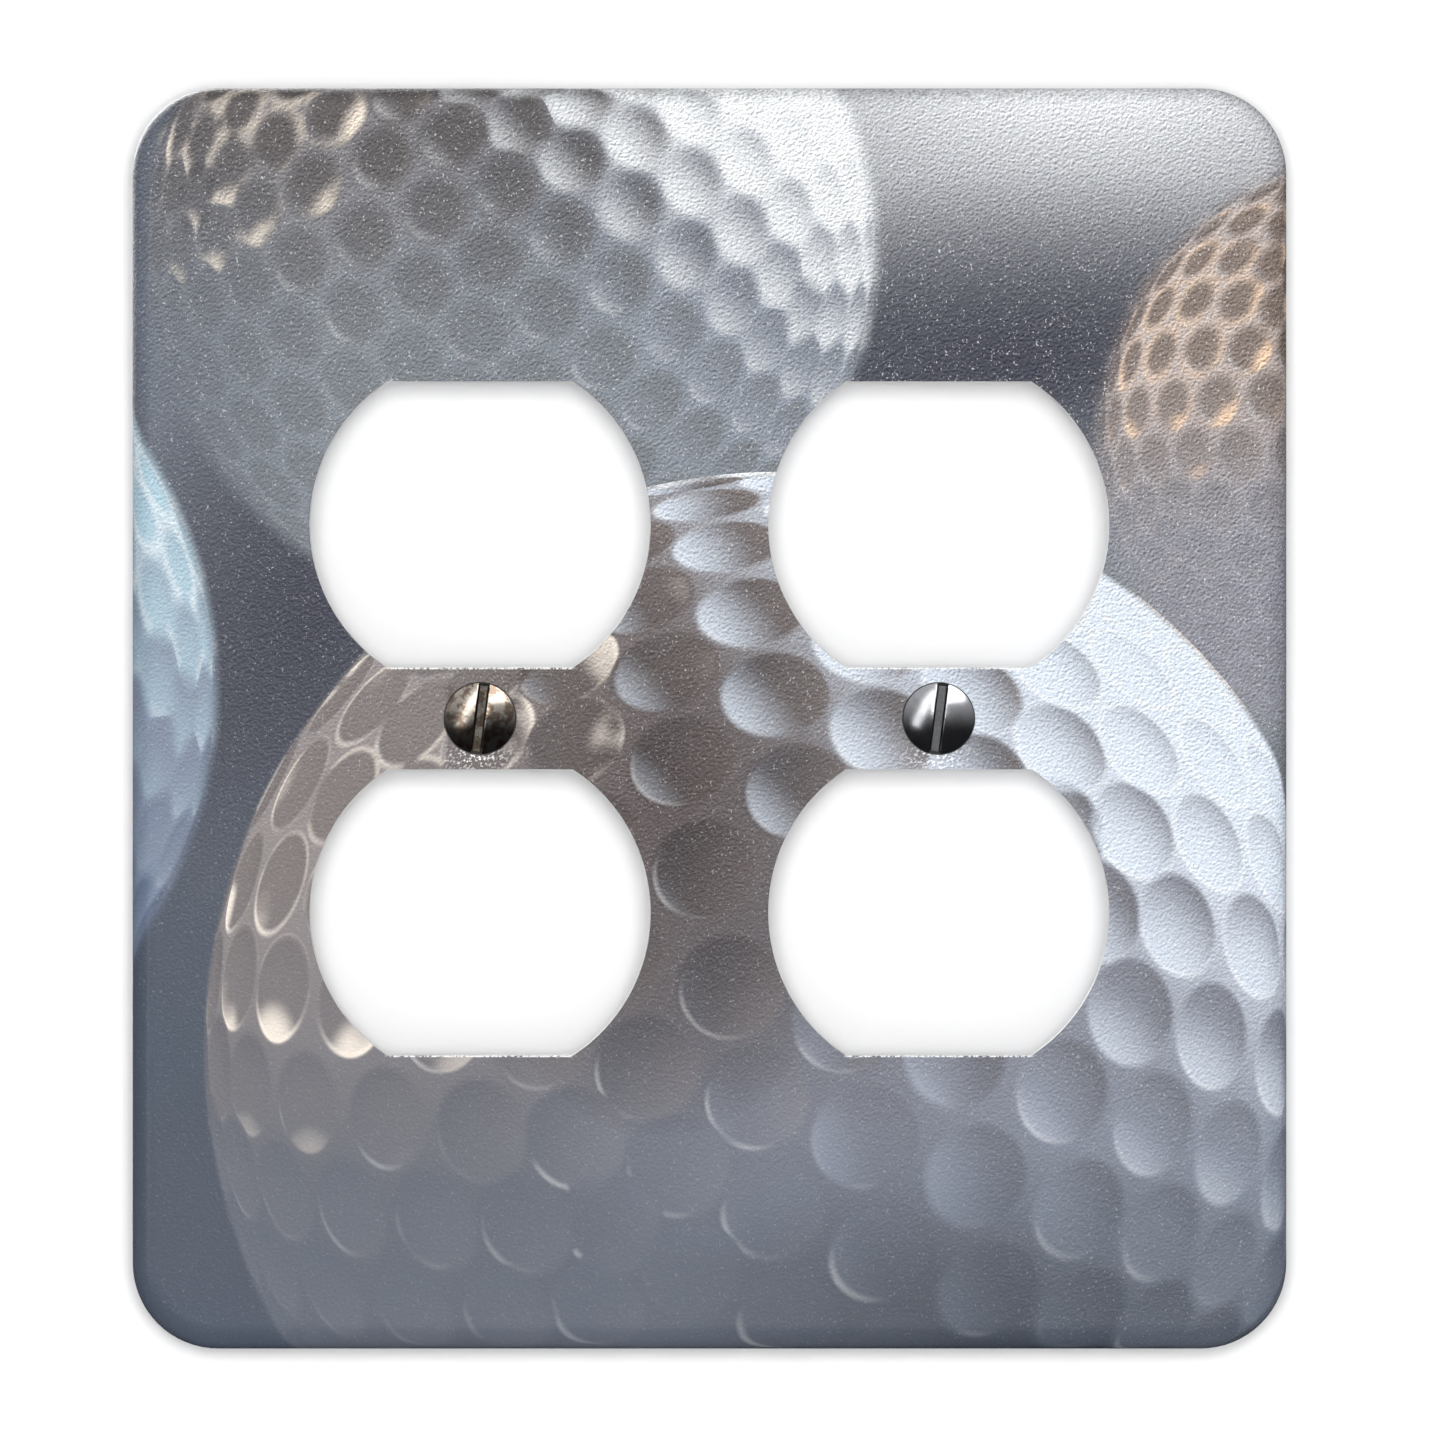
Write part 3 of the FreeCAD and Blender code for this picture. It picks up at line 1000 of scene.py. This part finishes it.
def wall_material():
    """A plain white wall, seen only from the room."""
    material, tree, place, _ = start_material("White wall")
    behind = add_node(tree, "ShaderNodeNewGeometry", output=6)
    paintwork = add_node(tree, "ShaderNodeBsdfDiffuse", None, {"Color": (0.9, 0.9, 0.9, 1.0)})
    glow = add_node(tree, "ShaderNodeEmission", None, {"Color": (1.0, 1.0, 1.0, 1.0), "Strength": 0.01})
    lit = add_node(tree, "ShaderNodeAddShader", None, {0: paintwork, 1: glow})
    clear = add_node(tree, "ShaderNodeBsdfTransparent")
    both = add_node(tree, "ShaderNodeMixShader", None, {0: behind, 1: lit, 2: clear})
    add_node(tree, "ShaderNodeOutputMaterial", None, {"Surface": both}, None)
    return material


def floor_material(look):
    """A plain pale floor with a faint speckle."""
    material, tree, place, _ = start_material("Pale floor")
    speckle = place.noise(0.05, 3.0, 0.5)
    tone = speckle.blend(tuple(part * 0.97 for part in look.floor), tuple(look.floor))
    finish_material(tree, {"Base Color": tone, "Roughness": 0.75 + speckle * 0.1})
    return material


def add_light(name, power, size, place, long_size=None, long_axis=(0.0, 0.0, 1.0)):
    """A soft light facing the plate's middle, longer along one axis if asked."""
    data = bpy.data.lights.new(name, "AREA")
    data.energy = power
    data.shape = "RECTANGLE"
    data.size = size
    data.size_y = long_size or size
    away = Vector(place).normalized()
    along = Vector(long_axis)
    along = (along - away * along.dot(away)).normalized()
    light = bpy.data.objects.new(name, data)
    light.location = place
    light.rotation_euler = Matrix((along.cross(away), along, away)).transposed().to_euler()
    bpy.context.scene.collection.objects.link(light)
    return light


def build_world():
    """Dim studio surroundings, darker towards the floor, that look pale when seen directly."""
    world = bpy.data.worlds.new("Studio")
    world.use_nodes = True
    tree = world.node_tree
    tree.nodes.clear()
    upward = add_node(tree, "ShaderNodeTexCoord").part("Z")
    glow = upward.step(-0.34, 0.75)
    seen = add_node(tree, "ShaderNodeLightPath")
    surroundings = glow.blend((0.015, 0.015, 0.017), (0.52, 0.52, 0.53))
    # Less of it reaches matt surfaces, so the lamps' shadows stay clear.
    bounced = add_node(tree, "ShaderNodeLightPath", output=2)
    surroundings = surroundings * (1.0 - bounced * 0.5)
    shown = seen.blend(surroundings, (0.86, 0.86, 0.87))
    background = add_node(tree, "ShaderNodeBackground", None, {"Color": shown, "Strength": 1.0})
    add_node(tree, "ShaderNodeOutputWorld", None, {"Surface": background}, None)
    bpy.context.scene.world = world


def build_camera():
    """A long lens straight in front of the plate."""
    data = bpy.data.cameras.new("Camera")
    data.sensor_width = 36.0
    data.lens = 296.7
    data.clip_start = 0.05
    data.clip_end = 20.0
    camera = bpy.data.objects.new("Camera", data)
    camera.location = (0.00131, -1.2, -0.0004)
    camera.rotation_euler = Euler((math.radians(90), 0.0, 0.0))
    bpy.context.scene.collection.objects.link(camera)
    bpy.context.scene.camera = camera


# ---------------------------------------------------------------- add-on

class WALLPLATE_OT_shell(bpy.types.Operator):
    """Build the stamped steel plate"""

    bl_idname = "wallplate.shell"
    bl_label = "Build plate"

    def execute(self, context):
        scene = context.scene
        mesh = shell_mesh(scene.wallplate_plate, scene.wallplate_screw)
        piece = add_piece("stamped_plate", mesh, "plate", [coat_material(scene.wallplate_finishes)])
        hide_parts("plate_shell")
        # Its back is lit from behind, and none of that light may leak onto the wall in front.
        piece.visible_diffuse = False
        return {"FINISHED"}


class WALLPLATE_OT_film(bpy.types.Operator):
    """Build the printed film on the plate's face"""

    bl_idname = "wallplate.film"
    bl_label = "Build printed film"

    def execute(self, context):
        scene = context.scene
        mesh = film_mesh(scene.wallplate_plate, scene.wallplate_screw)
        piece = add_piece("printed_picture_film", mesh, "plate", [print_material(scene.wallplate_plate)])
        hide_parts("printed_film")
        return {"FINISHED"}


class WALLPLATE_OT_screws(bpy.types.Operator):
    """Build the two oval-head screws"""

    bl_idname = "wallplate.screws"
    bl_label = "Build screws"

    def execute(self, context):
        scene = context.scene
        plating = nickel_material(scene.wallplate_finishes)
        offset = mm(scene.wallplate_plate.gang_spacing) / 2
        for name, body, node, side in (
            ("screw_on_the_left", "left_fastener", "left_screw", -1),
            ("screw_on_the_right", "right_fastener", "right_screw", 1),
        ):
            mesh = screw_mesh(scene.wallplate_screw, side * offset, scene.wallplate_screw.slot_tilt)
            piece = add_piece(name, mesh, body, [plating])
            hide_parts(node)
        return {"FINISHED"}


class WALLPLATE_OT_stage(bpy.types.Operator):
    """Build the wall, floor, lights and camera"""

    bl_idname = "wallplate.stage"
    bl_label = "Build stage"

    def execute(self, context):
        scene = context.scene
        look = scene.wallplate_stage
        upright = Matrix.Rotation(math.radians(90), 4, "X")
        wall = stage_plane("Wall", 3.0, 3.0, Matrix.Scale(3.0, 4) @ upright, wall_material())
        wall.visible_diffuse = False
        wall.visible_glossy = False
        wall.visible_transmission = False
        wall.visible_shadow = False
        lowest = CAD_BOX[0][2] - 0.085
        floor = stage_plane(
            "Floor", 1.0, 1.0, Matrix.Translation((0, 0, lowest)) @ Matrix.Scale(6.0, 4), floor_material(look)
        )
        floor.visible_glossy = False
        key = add_light("Key", look.key, 0.6, (0.01, -0.95, 0.09))
        key.visible_glossy = False
        # Softboxes that only show as reflections in the nickel and the coat.
        sheen = add_light("Sheen", 1.3, 0.36, (0.03, -0.95, 0.29))
        sheen.visible_diffuse = False
        overhead = add_light("Overhead", 6.0, 0.9, (0.5, -0.75, 0.95))
        overhead.visible_diffuse = False
        strip = add_light("Strip", 1.2, 0.2, (-0.31, -0.69, 0.26), 1.1, (0.62, 0.1, 1.01))
        strip.visible_diffuse = False
        fill = add_light("Fill", look.fill, 1.0, (0.0, -1.6, 0.16))
        fill.visible_glossy = False
        for side in (-1, 1):
            beside = add_light(("Left", "Right")[side > 0], 2.0, 0.6, (side * 1.1, -0.2, 0.25))
            beside.visible_glossy = False
        add_light("Behind", 8.0, 0.8, (-0.5, 0.9, 0.5))
        build_world()
        build_camera()
        scene.view_settings.view_transform = "Standard"
        return {"FINISHED"}


class WALLPLATE_PT_build(bpy.types.Panel):
    """The steps that build the wall plate"""

    bl_label = "Wall plate"
    bl_idname = "WALLPLATE_PT_build"
    bl_space_type = "VIEW_3D"
    bl_region_type = "UI"
    bl_category = "Wall plate"

    def draw(self, context):
        for operator in OPERATORS:
            self.layout.operator(operator.bl_idname)


OPERATORS = (WALLPLATE_OT_shell, WALLPLATE_OT_film, WALLPLATE_OT_screws, WALLPLATE_OT_stage)
CLASSES = (PlateSizes, ScrewSizes, Finishes, StageLook) + OPERATORS + (WALLPLATE_PT_build,)


def register():
    for cls in CLASSES:
        bpy.utils.register_class(cls)
    bpy.types.Scene.wallplate_plate = PointerProperty(type=PlateSizes)
    bpy.types.Scene.wallplate_screw = PointerProperty(type=ScrewSizes)
    bpy.types.Scene.wallplate_finishes = PointerProperty(type=Finishes)
    bpy.types.Scene.wallplate_stage = PointerProperty(type=StageLook)


def unregister():
    del bpy.types.Scene.wallplate_stage
    del bpy.types.Scene.wallplate_finishes
    del bpy.types.Scene.wallplate_screw
    del bpy.types.Scene.wallplate_plate
    for cls in reversed(CLASSES):
        bpy.utils.unregister_class(cls)


def main():
    """Build the whole object and its stage."""
    register()
    bpy.ops.wallplate.shell()
    bpy.ops.wallplate.film()
    bpy.ops.wallplate.screws()
    bpy.ops.wallplate.stage()


if __name__ == "__main__":
    main()
